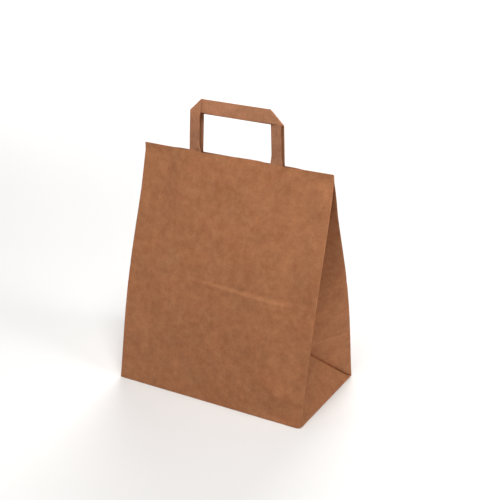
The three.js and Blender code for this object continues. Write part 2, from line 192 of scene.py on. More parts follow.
# %% [markdown]
# ## A finer grid
# Paper bends in wide soft curves between its folds, so the sheet needs points to bend at. More straight
# cuts, about 5 mm apart, are enough, and a few extra rows mark the pressed crease, the lower edges of
# the patches and the short pinched part of the mouth. The seam, the soft ledge of each gusset and the
# slightly tilted ridge of the front get lines of their own.

# %% Cut rows up the sheet
CREASE_HEIGHT = 2 * HALF_DEPTH
CREASE_REACH = 5 * MM
BOW_HEIGHT = 243 * MM
PINCHED_HEIGHT = 9 * MM
FOOT_ROW = 2.5 * MM
GRID, GUSSET_GRID = 5.2 * MM, 6 * MM


def steps(low, high, spacing):
    """Even steps between two values, no further apart than the spacing."""
    count = math.ceil((high - low) / spacing)
    return [low + (high - low) * i / count for i in range(1, count)]


LANDMARKS = [0, HALF_DEPTH, CREASE_HEIGHT, BOW_HEIGHT, HEIGHT - PINCHED_HEIGHT, HEIGHT]
rows = [FOOT_ROW, BOW_HEIGHT, HEIGHT - PINCHED_HEIGHT]
rows += [CREASE_HEIGHT + CREASE_REACH * share for share in (-1, -0.5, 0, 0.5, 1)]
for low, high in zip(LANDMARKS, LANDMARKS[1:]):
    rows += steps(low, high, GRID)
for height in sorted(rows):
    cut(sheet, UPRIGHT * height, UPRIGHT)
print("rows:", len(rows))

# %% Cut columns, the ridge and the ledges
LEDGE_LOW, LEDGE_HIGH = 71 * MM, 66 * MM  # a soft crease of the gusset, at its middle and at its sides
CORNER_COLUMNS = [2.3 * MM, 4.2 * MM]
RIDGE_AT_MIDDLE, RIDGE_TILT, RIDGE_REACH = CREASE_HEIGHT - 2 * MM, 0.05, 4 * MM
for x in steps(-HALF_WIDTH + FOLD_BAND, HALF_WIDTH - FOLD_BAND, GRID):
    cut(sheet, ACROSS * x, ACROSS)
for x in (SEAM_EDGE, SEAM_RISEN, SEAM_START):
    cut(sheet, ACROSS * x, ACROSS, lambda m, n: n.y > 0.5)
for offset in (-1, -0.5, 0, 0.5, 1):
    cut(sheet, UPRIGHT * (RIDGE_AT_MIDDLE + RIDGE_REACH * offset), Vector((RIDGE_TILT, 0, 1)),
        lambda m, n: n.y < -0.5)
for side in (-1, 1):
    for y in steps(FOLD_BAND, HALF_DEPTH - FOLD_BAND, GUSSET_GRID):
        cut(sheet, DEEP * side * y, DEEP)
    for away in CORNER_COLUMNS:
        cut(sheet, ACROSS * side * (HALF_WIDTH - away), ACROSS)
        cut(sheet, DEEP * side * (HALF_DEPTH - away), DEEP, on_gusset)
    ledge_line = Vector((0, side * HALF_DEPTH, LEDGE_HIGH - LEDGE_LOW))
    cut(sheet, UPRIGHT * LEDGE_LOW, ledge_line.cross(ACROSS),
        lambda m, n: on_gusset(m, n) and m.y * side > 0)
print("faces after the grid:", len(bmesh.from_edit_mesh(sheet.data).faces))

# %% [markdown]
# ## The bottom fold and the glued seam
# The walls turn in at the bottom round a tight fold, so their lower edge is extruded down by the paper
# that this turn takes. The tube is closed by a seam on the back panel: one edge of the web is glued over
# the other. The lapping strip is a copy of those faces, lifted off the panel by one sheet.

# %% Extrude the turn of the bottom fold and lift the seam
TURN_OF_PAPER, TURN_PARTS = BOTTOM_FOLD * math.pi / 2, 3


def edges_where(piece, test):
    """Select the edges of a piece in edit mode whose two ends pass a test."""
    shape = with_nothing_selected(piece)
    for edge in shape.edges:
        if test(*(end.co for end in edge.verts)):
            edge.select_set(True)
    bmesh.update_edit_mesh(piece.data)


for step in range(TURN_PARTS):
    foot = -step * TURN_OF_PAPER / TURN_PARTS
    edges_where(sheet, lambda a, b: max(abs(a.z - foot), abs(b.z - foot)) < SAME_PLACE)
    bpy.ops.mesh.extrude_edges_move(TRANSFORM_OT_translate={"value": (0, 0, -TURN_OF_PAPER / TURN_PARTS)})
faces_where(sheet, lambda m, n: n.y > 0.5 and SEAM_EDGE < m.x < SEAM_START and m.z > 0)
bpy.ops.mesh.duplicate()
bpy.ops.transform.translate(value=(0, PAPER, 0))
bpy.ops.object.mode_set(mode="OBJECT")
print("sheet with its seam and bottom turn:", len(sheet.data.polygons), "faces")

# %% [markdown]
# ## The UV map
# Paper has a grain that runs along the web and round every fold. A UV map made while the sheet is open
# is the unrolled web itself: across it is the way round the bag, and up it is the height along the
# paper. One unit of the map is 0.8 m, so that the whole web and its bottom flaps fit in the square.

# %% Unroll the web into the UV map
WEB = 0.8
WEB_LEFT, WEB_FOOT = 0.3, 0.09


def web_of(point, normal, middle):
    """How far round the bag and how far up the paper a point of the open box lies."""
    if abs(normal.x) > abs(normal.y):
        if normal.x > 0:
            return HALF_WIDTH + point.y + HALF_DEPTH
        return -HALF_WIDTH - point.y - HALF_DEPTH
    if normal.y < 0:
        return point.x
    if middle.x > SEAM_EDGE:
        return HALF_WIDTH + 2 * HALF_DEPTH + HALF_WIDTH - point.x
    return -HALF_WIDTH - 2 * HALF_DEPTH - HALF_WIDTH - point.x


def map_web(piece, across_and_up):
    """Give a piece one UV map, of the web: across_and_up gives both for a corner's place and its face."""
    while piece.data.uv_layers:
        piece.data.uv_layers.remove(piece.data.uv_layers[0])
    layer = piece.data.uv_layers.new(name="web")
    for face in piece.data.polygons:
        for corner in face.loop_indices:
            point = piece.data.vertices[piece.data.loops[corner].vertex_index].co
            across, high = across_and_up(point, face)
            layer.data[corner].uv = ((across + WEB_LEFT) / WEB, (high + WEB_FOOT) / WEB)


map_web(sheet, lambda point, face: (web_of(point, face.normal, face.center), point.z))
spread = [uv.uv[0] for uv in sheet.data.uv_layers["web"].data]
print("web runs over", round(min(spread), 3), "to", round(max(spread), 3), "of the map")

# %% [markdown]
# ## How the bag stands
# Its mouth is pressed nearly shut. The two panels lean together and bow out a little, each long fold by
# its own amount, and the gussets fold inwards. Paper doesn't stretch, so a half gusset keeps its width:
# where the long folds come closer, the middle fold moves in. These few functions give the places of the
# folds at any height along the paper, and they repeat what the solids follow.

# %% Where the folds lie
FRONT, BACK, LEFT, MIDDLE, RIGHT = -1, 1, -1, 0, 1
MOUTH_OPENING = 6.9 * MM
PINCHED_WIDTH = 32 * MM
PINCHED_GAP = 3 * FOLD_RADIUS
CREASE_DEPTH = 0.5 * MM
WALL_FOOT = 0.4 * MM
FLAT_HALF = 73 * MM
SHOULDER = HALF_WIDTH - PINCHED_WIDTH - FLAT_HALF
BOW_FULLNESS = 1.3
BOWS = {
    (FRONT, LEFT): 6.5 * MM, (FRONT, MIDDLE): 5 * MM, (FRONT, RIGHT): 2 * MM,
    (BACK, LEFT): 7 * MM, (BACK, MIDDLE): 9 * MM, (BACK, RIGHT): 9 * MM,
}
print("widest and least bow, mm:", round(max(BOWS.values()) / MM, 1), round(min(BOWS.values()) / MM, 1))

# %% Find the gaps and the rise at any height
def blend(a, b, share):
    return a + (b - a) * share


def bow_of(face, at, height):
    wave = math.sin(math.pi * min(height / BOW_HEIGHT, 1))
    return BOWS[face, at] * max(0, wave) ** BOW_FULLNESS


def edge_gap(face, side, height):
    share = min(max(height, 0) / (HEIGHT - PINCHED_HEIGHT), 1)
    return blend(HALF_DEPTH, PINCHED_GAP, share) + bow_of(face, side, height)


def middle_gap(face, height):
    return blend(HALF_DEPTH, MOUTH_OPENING / 2, height / HEIGHT) + bow_of(face, MIDDLE, height)


def crease_dip(height):
    """How deep the crease of the folded bottom is pressed into a panel."""
    return CREASE_DEPTH * max(0, 1 - abs(height - CREASE_HEIGHT) / CREASE_REACH)


def gusset_gap(side, height):
    return (edge_gap(FRONT, side, height) + edge_gap(BACK, side, height)) / 2


def gusset_lean(side, height):
    step = 0.5 * MM
    return (gusset_gap(side, height - step) - gusset_gap(side, height + step)) / (2 * step)


@functools.cache
def rise_of(side, height):
    """How high a point lies that is so far along the leaning paper."""
    parts = 48
    leans = [gusset_lean(side, (i + 0.5) / parts * height) for i in range(parts)]
    return sum(math.sqrt(1 - lean * lean) for lean in leans) * height / parts


print("lip above the floor, mm:", round((WALL_FOOT + rise_of(RIGHT, HEIGHT)) / MM, 1))

# %% [markdown]
# ## The pins of the folds
# Seen from above, the sheet is a belt that runs round eight thin pins: two long folds and two gusset
# creases on each side. It turns one way round the long folds and the other way round the creases.

# %% Place the pins at one height
FOLD_LINE = HALF_WIDTH - 0.05 * MM  # a hair inside, so that no rounded fold passes the solids' box
ROUNDING = 1e-3  # an angle this little below nought is a straight run, not a whole turn


def edge_pin(face, side, height):
    x = side * (FOLD_LINE - FOLD_RADIUS)
    y = face * (edge_gap(face, side, height) - crease_dip(height) - FOLD_RADIUS)
    return Vector((x, y, WALL_FOOT + rise_of(side, height))), 1


def valley_pin(side, height):
    lean = gusset_lean(side, height)
    upright = math.sqrt(1 - lean * lean)
    across = gusset_gap(side, height) / HALF_DEPTH
    inward = HALF_DEPTH * math.sqrt(max(0, 1 - (across / upright) ** 2))
    x = side * (FOLD_LINE - inward + FOLD_RADIUS)
    y = (edge_gap(BACK, side, height) - edge_gap(FRONT, side, height)) / 2
    z = WALL_FOOT + rise_of(side, height) - HALF_DEPTH * across * lean / upright
    return Vector((x, y, z)), -1


def crease_pin(face, side, height):
    if height >= HALF_DEPTH:
        return valley_pin(side, height)
    tip, turn = valley_pin(side, HALF_DEPTH)
    corner = Vector((side * (FOLD_LINE + FOLD_RADIUS), face * (HALF_DEPTH - CREASE_START), WALL_FOOT))
    return corner.lerp(tip, height / HALF_DEPTH), turn


print("right valley at half height, mm:", [round(v / MM, 1) for v in valley_pin(RIGHT, HEIGHT / 2)[0]])

# %% Run the belt round the pins
@functools.cache
def belt_at(height):
    """The arcs of the belt round its eight pins: each as its centre, turn, first heading and angle."""
    ring = [(FRONT, RIGHT), (BACK, RIGHT), (BACK, LEFT), (FRONT, LEFT)]
    pins = []
    for number, (face, side) in enumerate(ring):
        pair = [edge_pin(face, side, height), crease_pin(face, side, height)]
        pins += pair if number % 2 == 0 else pair[::-1]
    headings = []
    for number, (centre, turn) in enumerate(pins):
        following, next_turn = pins[(number + 1) % len(pins)]
        run = (following - centre).to_2d()
        if run.length < FOLD_RADIUS / 100:
            headings.append(math.pi / 2 if centre.x > 0 else -math.pi / 2)
        else:
            lean = math.asin(max(-1, min(1, (turn - next_turn) * FOLD_RADIUS / run.length)))
            headings.append(math.atan2(run.y, run.x) + lean)
    arcs = []
    for number, (centre, turn) in enumerate(pins):
        first = headings[number - 1]
        angle = ((headings[number] - first) * turn + ROUNDING) % math.tau - ROUNDING
        arcs.append((centre, turn, first, angle))
    return arcs


print("widest fold at mid height, degrees:", round(max(math.degrees(arc[3]) for arc in belt_at(0.15))))

# %% [markdown]
# ## Folding
# Bend and the transform tools would stretch the paper, and no tool folds along a crease with a real
# radius. So each point of the open sheet is sent by a function to its place on the belt: round a pin
# if it lies in a fold's band, and along the straight run between two pins otherwise. The panels then
# follow their flat middles, where the patches hold them.

# %% Find a point's place on a gusset
def round_pin(arcs, number, share):
    """A point that far round one pin, and the way out of the paper there."""
    centre, turn, first, angle = arcs[number % len(arcs)]
    heading = first + turn * angle * share
    out = Vector((math.sin(heading), -math.cos(heading), 0))
    return centre + turn * FOLD_RADIUS * out, out


def between_pins(arcs, number, share):
    """A point that far along the straight run from one pin to the next."""
    start, out = round_pin(arcs, number, 1)
    end, _ = round_pin(arcs, number + 1, 0)
    return start.lerp(end, share), out


def on_side(arcs, first, along, height):
    """A point of a gusset, so far along it from the long fold where the belt enters it."""
    half = FOLD_BAND / 2
    crease = blend(CREASE_START, HALF_DEPTH, min(max(height, 0) / HALF_DEPTH, 1))
    far = 2 * HALF_DEPTH - crease
    ends = [half, crease - half, min(crease + half, HALF_DEPTH),
            max(far - half, HALF_DEPTH), far + half, 2 * HALF_DEPTH - half]
    if along <= ends[0]:
        return round_pin(arcs, first, 0.5 + along / FOLD_BAND)
    if along >= ends[5]:
        return round_pin(arcs, first + 3, 0.5 - (2 * HALF_DEPTH - along) / FOLD_BAND)
    for number in range(5):
        if along <= ends[number + 1] or number == 4:
            share = (along - ends[number]) / max(ends[number + 1] - ends[number], 1e-9)
            if number % 2:
                return round_pin(arcs, first + (number + 1) // 2, share)
            return between_pins(arcs, first + number // 2, share)


halfway, _ = on_side(belt_at(HEIGHT / 2), 0, HALF_DEPTH, HEIGHT / 2)
print("gusset folded in at half height, mm:", round((HALF_WIDTH - halfway.x) / MM, 1))

# %% Find a point's place on a panel
def on_panel(arcs, face, x, height):
    """A point of a wide panel. Its flat middle and its folded edges follow lines of their own."""
    beyond = HALF_WIDTH - abs(x)
    into, out_of = (7, 0) if face == FRONT else (3, 4)
    ahead = x if face == FRONT else -x
    if beyond < FOLD_BAND / 2:
        if ahead > 0:
            return round_pin(arcs, out_of, 0.5 - beyond / FOLD_BAND)
        return round_pin(arcs, into, 0.5 + beyond / FOLD_BAND)
    reach = HALF_WIDTH - FOLD_BAND / 2
    point, out = between_pins(arcs, into, (ahead / reach + 1) / 2)
    past = min(max((abs(point.x) - FLAT_HALF) / SHOULDER, 0), 1)
    share = (1 + math.cos(math.pi * past)) / 2
    middle = face * (middle_gap(face, height) - crease_dip(height))
    point.y = blend(point.y, middle, share)
    return point, out


halfway, _ = on_panel(belt_at(HEIGHT / 2), FRONT, 0, HEIGHT / 2)
print("front in front of the middle at half height, mm:", round(-halfway.y / MM, 1))

# %% [markdown]
# ## Soft places
# No carrier bag is folded perfectly. The slanted creases of the gussets are deep valleys, and above them
# the paper swells out on to a soft ledge. The upper right corner of the front is bent, the lips aren't
# quite straight, and the corner that the bag was put down on is rounded. Each is a smooth rise or dip of
# a few millimetres, worked out from a point's place on the open sheet. Sculpting would give the same
# forms, but it can't be measured.

# %% Groove and swell the gussets
GROOVE_DEPTH, GROOVE_START, GROOVE_FADE = 2.8 * MM, 3 * MM, 3  # the fade is a power of the height
LEDGE_SWELL, UPPER_SWELL, FOLD_SWELL = 3.6 * MM, 2.8 * MM, 0.9 * MM
CREASE_RAMP, LEDGE_RAMP = 5 * MM, 18 * MM  # a swell rises this slowly beside a crease, beside a long fold
STRIP_RAMP, STRIP_EDGE, STRIP_FADE = 3.1 * MM, 4.2 * MM, 14 * MM  # across the swell beside a long fold
STRIP_START, STRIP_TOP, STRIP_END = 15 * MM, 210 * MM, 60 * MM  # and up along it


def smooth(share):
    """Turn a share into a soft step from 0 to 1."""
    share = min(max(share, 0), 1)
    return share * share * (3 - 2 * share)


def gusset_relief(y, height):
    """How far the paper of a gusset stands out of its flat folds."""
    from_fold = HALF_DEPTH - abs(y)
    inner = max(0, from_fold - FOLD_BAND)
    above = blend(CREASE_START, HALF_DEPTH, min(max(height, 0) / HALF_DEPTH, 1)) - from_fold
    clear = min(1, max(0, above) / CREASE_RAMP)
    ledge = blend(LEDGE_HIGH, LEDGE_LOW, from_fold / HALF_DEPTH)
    relief = 0
    if height < HALF_DEPTH:
        fade = (1 - height / HALF_DEPTH) ** GROOVE_FADE
        depth = GROOVE_DEPTH * min(1, max(height, 0) / GROOVE_START) * fade
        relief -= depth * max(0, 1 - abs(above) / GROOVE_REACH)
    if height < ledge:
        crease_height = HALF_DEPTH * (from_fold - CREASE_START) / (HALF_DEPTH - CREASE_START)
        down = (ledge - height) / max(ledge - crease_height, MM)
        return relief + LEDGE_SWELL * clear * min(down, 1) * min(1, inner / LEDGE_RAMP)
    risen = min(1, (height - ledge) / (CREASE_HEIGHT - ledge))
    relief += UPPER_SWELL * clear * math.sin(math.pi * risen) * math.sin(math.pi * inner / HALF_DEPTH)
    strip = min(1, inner / STRIP_RAMP) * max(0, 1 - max(0, from_fold - STRIP_EDGE) / STRIP_FADE)
    reach = min(1, (height - ledge) / STRIP_START) * smooth((STRIP_TOP - height) / STRIP_END)
    return relief + FOLD_SWELL * strip * reach


swell = gusset_relief(HALF_DEPTH / 2, HALF_DEPTH * 0.8)
print("swell of a gusset below its ledge, mm:", round(swell / MM, 1))

# %% Raise the bumps and the ridge of the front
RIDGE_HEIGHT, RIDGE_MIDDLE, RIDGE_LENGTH, RIDGE_FADE = 0.75 * MM, 18 * MM, 90 * MM, 1.6
BUMPS = [  # each one's height, its place across and up the front, and its reach both ways
    (3.2 * MM, (112 * MM, 257 * MM), (13 * MM, 26 * MM)),
    (4.8 * MM, (94 * MM, 32 * MM), (30 * MM, 25 * MM)),
]


def panel_relief(face, x, height):
    """The bumps of the front, and the ridge that its pressed crease raised."""
    if face == BACK:
        return 0
    off_ridge = abs(height - RIDGE_AT_MIDDLE + RIDGE_TILT * x) / RIDGE_REACH
    along = smooth(RIDGE_FADE - RIDGE_FADE * abs(x - RIDGE_MIDDLE) / RIDGE_LENGTH)
    relief = RIDGE_HEIGHT * max(0, 1 - off_ridge) * along
    for bump, place, size in BUMPS:
        beside, above = (abs(v - at) / reach for v, at, reach in zip((x, height), place, size))
        relief += bump * smooth(1 - beside) * smooth(1 - above)
    return relief


print("tops of the bumps, mm:", [round(panel_relief(FRONT, *bump[1]) / MM, 1) for bump in BUMPS])

# %% Bend the lips and two corners
LIP_ZONE = 22 * MM  # the paper follows its lip this far down
FRONT_LIP_RISE, BACK_LIP_DROP = 2.1 * MM, 1.1 * MM
RISE_START, RISE_RAMP, RISE_END, FALL_RAMP = -50 * MM, 75 * MM, 48 * MM, 16 * MM  # across the front lip
CORNER_TUCK, TUCK_START, TUCK_HEIGHT = 2 * MM, 250 * MM, 40 * MM
TUCK_EDGE, TUCK_RAMP = 95 * MM, 30 * MM
ROUNDED_FOOT, ROUNDED_HEIGHT = 5 * MM, 9 * MM


def lip_rise(face, x, height):
    """How much higher the paper reaches near the lip than a straight cut would."""
    near_lip = smooth((height - HEIGHT + LIP_ZONE) / LIP_ZONE)
    if face == BACK:
        return -BACK_LIP_DROP * near_lip
    risen = smooth((x - RISE_START) / RISE_RAMP) * smooth((RISE_END - x) / FALL_RAMP)
    return FRONT_LIP_RISE * near_lip * risen


def soften(point):
    """Tuck in the upper right corner, and round the foot of the front right one."""
    high = max(0, point.z - TUCK_START) / TUCK_HEIGHT
    point.x -= CORNER_TUCK * high * high * smooth((point.x - TUCK_EDGE) / TUCK_RAMP)
    aside = Vector((point.x - HALF_WIDTH, -point.y - HALF_DEPTH)) + Vector((1, 1)) * ROUNDED_FOOT
    if min(aside) > 0:
        aside *= blend(max(aside) / aside.length, 1, smooth(point.z / ROUNDED_HEIGHT))
        point.x = HALF_WIDTH - ROUNDED_FOOT + aside.x
        point.y = ROUNDED_FOOT - HALF_DEPTH - aside.y
    return point


print("front lip risen at its middle, mm:", round(lip_rise(FRONT, 0, HEIGHT) / MM, 1))

# %% [markdown]
# ## Every point to its place
# The belt gives a point its fold, the soft places move it in or out, and a noise adds the faint cockle
# that kraft paper takes up as it dries. Near folds and under the patches the paper is held and stays
# calm. At the foot each wall is lifted by the flaps that lie below it.

# %% Cockle the paper
COCKLE, RIPPLE_SHARE = 0.22 * MM, 0.35
WAVE, RIPPLE = (0.055, 0.085, 3.7), (0.021, 0.034, 9.1)  # metres across and up, and a slice of the noise
CALM_REACH, CALM_LIP, CALM_LEAST = 14 * MM, 30 * MM, 0.15


def cockle(web, height, calm):
    """How far the paper waves in and out, less where it is held calm."""
    wave, ripple = (noise.noise(Vector((web / size, height / rise, slice_at)))
                    for size, rise, slice_at in (WAVE, RIPPLE))
    return COCKLE * (wave + RIPPLE_SHARE * ripple) * calm


print("cockle at one place, mm:", round(cockle(0, HEIGHT / 3, 1) / MM, 3))

# %% Fold the sheet
LIFTS = {"front": PAPER, "side": 2 * PAPER, "back": 0}  # of the walls' feet over the outermost flap
LIFT_FADE = 10 * MM
BACK_OF_NOISE = 3  # keeps the cockle of the back apart from that of the front


def foot_lift(x, y):
    """How high the flaps below a wall lift its foot."""
    if HALF_WIDTH - abs(x) < HAIR:
        return LIFTS["side"]
    return LIFTS["front"] if y < 0 else LIFTS["back"]


def folded(flat):
    """The place of a point of the open box on the standing bag."""
    x, y, height = flat
    lifted = max(0, y - HALF_DEPTH)
    arcs = belt_at(round(max(height, 0), 6))
    if HALF_WIDTH - abs(x) < HAIR:
        first, along = (0, y + HALF_DEPTH) if x > 0 else (4, HALF_DEPTH - y)
        point, out = on_side(arcs, first, along, height)
        point.z += lip_rise(BACK, x, height) * (y + HALF_DEPTH) / (2 * HALF_DEPTH)
        relief = gusset_relief(y, height)
        calm = min(1, abs(abs(y) - HALF_DEPTH) / CALM_REACH, abs(y) / CALM_REACH)
        web = x + y
    else:
        face = FRONT if y < 0 else BACK
        point, out = on_panel(arcs, face, x, max(height, 0))
        point.z += lip_rise(face, x, height)
        relief = panel_relief(face, x, height)
        calm = min(1, (HALF_WIDTH - abs(x)) / CALM_REACH)
        if abs(x) < FLAT_HALF:
            calm *= min(1, max(CALM_LEAST, (BOW_HEIGHT - height) / CALM_LIP))
        web = x + BACK_OF_NOISE * face
    calm *= min(1, max(height, 0) / CALM_REACH)
    lap = lifted * min(1, (SEAM_START - x) / (SEAM_START - SEAM_RISEN))
    point = point + out * (cockle(web, height, calm) + relief + lap)
    lift = foot_lift(x, y)
    if height < 0:
        turned = -height / BOTTOM_FOLD
        point -= out * BOTTOM_FOLD * (1 - math.cos(turned))
        point.z = WALL_FOOT + lift - BOTTOM_FOLD * math.sin(turned)
    else:
        point.z += lift * max(0, 1 - height / LIFT_FADE)
    return point


for corner in sheet.data.vertices:
    corner.co = folded(corner.co)
sheet.data.update()
low, high = (Vector(sheet.bound_box[i]) for i in (0, 6))
print("folded sheet, mm:", [round(v / MM, 1) for v in (*low, *high)])

# %% [markdown]
# ## The thickness of the paper
# Solidify gives the sheet its 0.2 mm. The middle of the paper was modelled, so the thickness goes half
# to each side. Smooth shading by angle keeps the creases crisp.

# %% Give the sheet its thickness
CREASE_ANGLE = math.radians(32)  # faces that meet at a sharper angle show a crisp crease


def thicken(piece, thickness, offset):
    """Give thin paper its thickness and shade it. The offset says to which side it goes."""
    select_only(piece)
    solidify = piece.modifiers.new("Solidify", "SOLIDIFY")
    solidify.thickness = thickness
    solidify.offset = offset
    bpy.ops.object.modifier_apply(modifier=solidify.name)
    bpy.ops.object.shade_smooth_by_angle(angle=CREASE_ANGLE)


def aim_outwards(piece):
    """Turn all the faces of a closed piece outwards."""
    select_only(piece)
    bpy.ops.object.mode_set(mode="EDIT")
    bpy.ops.mesh.select_all(action="SELECT")
    bpy.ops.mesh.normals_make_consistent(inside=False)
    bpy.ops.object.mode_set(mode="OBJECT")


thicken(sheet, PAPER, 0)
print("paper sheet:", len(sheet.data.polygons), "faces")

# %% [markdown]
# ## The folded bottom
# The four walls end in flaps that are folded flat in turn: first the two gusset ends, then the front
# flap, then the back flap, which passes the middle and is glued on the outside. Each is a plane whose
# corners are cut off along the diagonals by bisect, one sheet lower than the last. A few more cuts near
# one corner let it be rounded with the wall above it.

# %% Cut a flap
BOTTOM_OVERLAP = 13 * MM
INSET = BOTTOM_FOLD - 0.05 * MM
CORNER_CUTS = (0.3, 0.6, 1)  # shares of the rounded foot


def flap(name, middle, size, top, trims, web):
    """A flat flap under its top height, trimmed by planes and mapped on to the web."""
    select_only()
    bpy.ops.mesh.primitive_plane_add(size=1, location=(*middle, top))
    piece = bpy.context.object
    piece.name = name
    piece.scale = (*size, 1)
    bpy.ops.object.transform_apply(location=True, rotation=True, scale=True)
    bpy.ops.object.mode_set(mode="EDIT")
    for point, normal in trims:
        bpy.ops.mesh.select_all(action="SELECT")
        bpy.ops.mesh.bisect(plane_co=point, plane_no=normal, clear_outer=True)
    for share in CORNER_CUTS:
        cut(piece, ACROSS * (HALF_WIDTH - ROUNDED_FOOT * share), ACROSS)
        cut(piece, DEEP * (ROUNDED_FOOT * share - HALF_DEPTH), DEEP)
    bpy.ops.object.mode_set(mode="OBJECT")
    map_web(piece, web)
    thicken(piece, PAPER, -1)
    return piece


print("overlap of the two long flaps, mm:", round(2 * BOTTOM_OVERLAP / MM))

# %% Lay the four bottom flaps
BOTTOM_WIDTH = 2 * (HALF_WIDTH - INSET)
BOTTOM_DEPTH = 2 * (HALF_DEPTH - INSET)
flaps = []
for side in (-1, 1):
    reach = HALF_DEPTH - INSET
    flaps.append(flap(
        "right_end" if side > 0 else "left_end",
        (side * (BOTTOM_WIDTH - reach) / 2, 0), (reach, BOTTOM_DEPTH), 3 * PAPER, [],
        lambda p, f: (side * (HALF_WIDTH + p.y + HALF_DEPTH), abs(p.x) - HALF_WIDTH),
    ))
for face, layers, name in ((FRONT, 2, "front_flap"), (BACK, 1, "back_flap")):
    long = HALF_DEPTH - INSET + BOTTOM_OVERLAP
    flaps.append(flap(
        name,
        (0, face * (long / 2 - BOTTOM_OVERLAP)), (BOTTOM_WIDTH, long), layers * PAPER,
        [(Vector((x * HALF_WIDTH, face * HALF_DEPTH, 0)), Vector((x, -face, 0))) for x in (-1, 1)],
        lambda p, f: (
            p.x if face == FRONT else 2 * HALF_WIDTH + 2 * HALF_DEPTH - p.x,
            -abs(p.y - face * HALF_DEPTH),
        ),
    ))
print("flaps:", [(f.name, len(f.data.polygons)) for f in flaps])

# %% Join the flaps to the sheet
select_only(*flaps, sheet)
bpy.ops.object.join()
for corner in sheet.data.vertices:
    corner.co = soften(corner.co)
sheet.data.update()
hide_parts("bag_body")
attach(sheet, "root")
print("bag sheet with its bottom:", len(sheet.data.polygons), "faces")

# %% [markdown]
# ## The handles
# Each handle is one long strip of paper folded flat, in three plies. A leg comes up from behind the
# panel, bends upright over the lip, turns over at a mitre and runs across as the grip, which lies behind
# the leg. A strip can be a bent box, but a real one turns, so it is drawn as it is folded: an edge is
# extruded from station to station, and at the mitre it goes round a small roll. The front legs are
# twisted a little, as handling leaves them, so that they show the edges of their plies.

# %% The sizes of the handles
STRIP_WIDTH, STRIP_THICKNESS = 15.3 * MM, 0.9 * MM
HANDLE_SPAN = 122.5 * MM
SPREAD = math.radians(2)
HANDLE_RISE, BACK_HANDLE_DROP = 63.5 * MM, 3 * MM
HANDLE_GRIP = 42 * MM
LIP_BEND_RADIUS = 9 * MM
MITRE_GAP, GLUE = 0.1 * MM, 0.15 * MM
LEG_CENTRE = (HANDLE_SPAN - STRIP_WIDTH) / 2
BEND_STEPS, MITRE_STEPS, LEG_GRID = 6, 8, 4.5 * MM
PLY, PLY_STEP = 0.28 * MM, 0.3 * MM  # each ply is a hair thinner than its share of the strip


def panel_top(face):
    """The lip of a panel on its inner face, its lean, and the ways into the bag and up the panel."""
    places = []
    for height in (HEIGHT, BOW_HEIGHT):
        z = WALL_FOOT + (rise_of(RIGHT, height) + rise_of(LEFT, height)) / 2
        places.append(Vector((0, PAPER / 2 - middle_gap(face, height), z)))
    lip, low = places
    lean = math.atan2(lip.y - low.y, lip.z - low.z)
    inward = Vector((0, math.cos(lean), -math.sin(lean)))
    return lip, lean, inward, Vector((0, math.sin(lean), math.cos(lean)))


def leg_path(face):
    """The middle of a leg seen from the side: up the panel, round the bend over the lip, upright."""
    lip, lean, inward, upward = panel_top(face)
    middle = lip + inward * (GLUE + STRIP_THICKNESS / 2)
    centre = middle - inward * LIP_BEND_RADIUS
    path = [middle - upward * HANDLE_GRIP, middle]
    for step in range(1, BEND_STEPS + 1):
        angle = -lean * (1 - step / BEND_STEPS)
        path.append(centre + LIP_BEND_RADIUS * Vector((0, math.cos(angle), math.sin(angle))))
    return path, lip.z


print("lean of the front panel at the lip, degrees:", round(math.degrees(panel_top(FRONT)[1]), 1))

# %% Find the stations along half a handle
def stations_of(face, drop):
    """Pairs of points, inner edge and outer edge, from the foot of the right leg to the grip's middle."""
    path, lip = leg_path(face)
    half = STRIP_WIDTH / 2
    aside = Vector((math.cos(SPREAD), 0, math.sin(SPREAD)))
    leg_up = Vector((-math.sin(SPREAD), 0, math.cos(SPREAD)))
    crown = lip + HANDLE_RISE - drop
    upright = steps(path[-1].z, crown - STRIP_WIDTH + MM, LEG_GRID)
    pairs = []
    for point in path + [Vector((0, path[-1].y, z)) for z in upright]:
        middle = Vector((LEG_CENTRE, point.y, lip)) + leg_up * (point.z - lip)
        pairs.append((middle - aside * half, middle + aside * half))
    along = (leg_up - Vector((1, 0, 0))).normalized()
    across = (leg_up + Vector((1, 0, 0))).normalized()
    rise = crown - half - lip
    mitre = Vector((LEG_CENTRE - rise * math.tan(SPREAD), path[-1].y, lip + rise))
    reach = along * (half / along.z)
    roll = (STRIP_THICKNESS + MITRE_GAP) / 2
    for step in range(MITRE_STEPS + 1):
        turned = math.pi * step / MITRE_STEPS
        centre = mitre + across * roll * math.sin(turned) + DEEP * roll * (1 - math.cos(turned))
        pairs.append((centre + reach, centre - reach))
    behind = path[-1].y + 2 * roll
    pairs.append((Vector((0, behind, crown)), Vector((0, behind, crown - STRIP_WIDTH))))
    return pairs


print("stations along half of the front handle:", len(stations_of(FRONT, 0)))

# %% Draw a strip along its stations
def which_end(point, ends):
    """Which of two ends a point is, or None."""
    for number, end in enumerate(ends):
        if (point - end).length < SAME_PLACE:
            return number
    return None


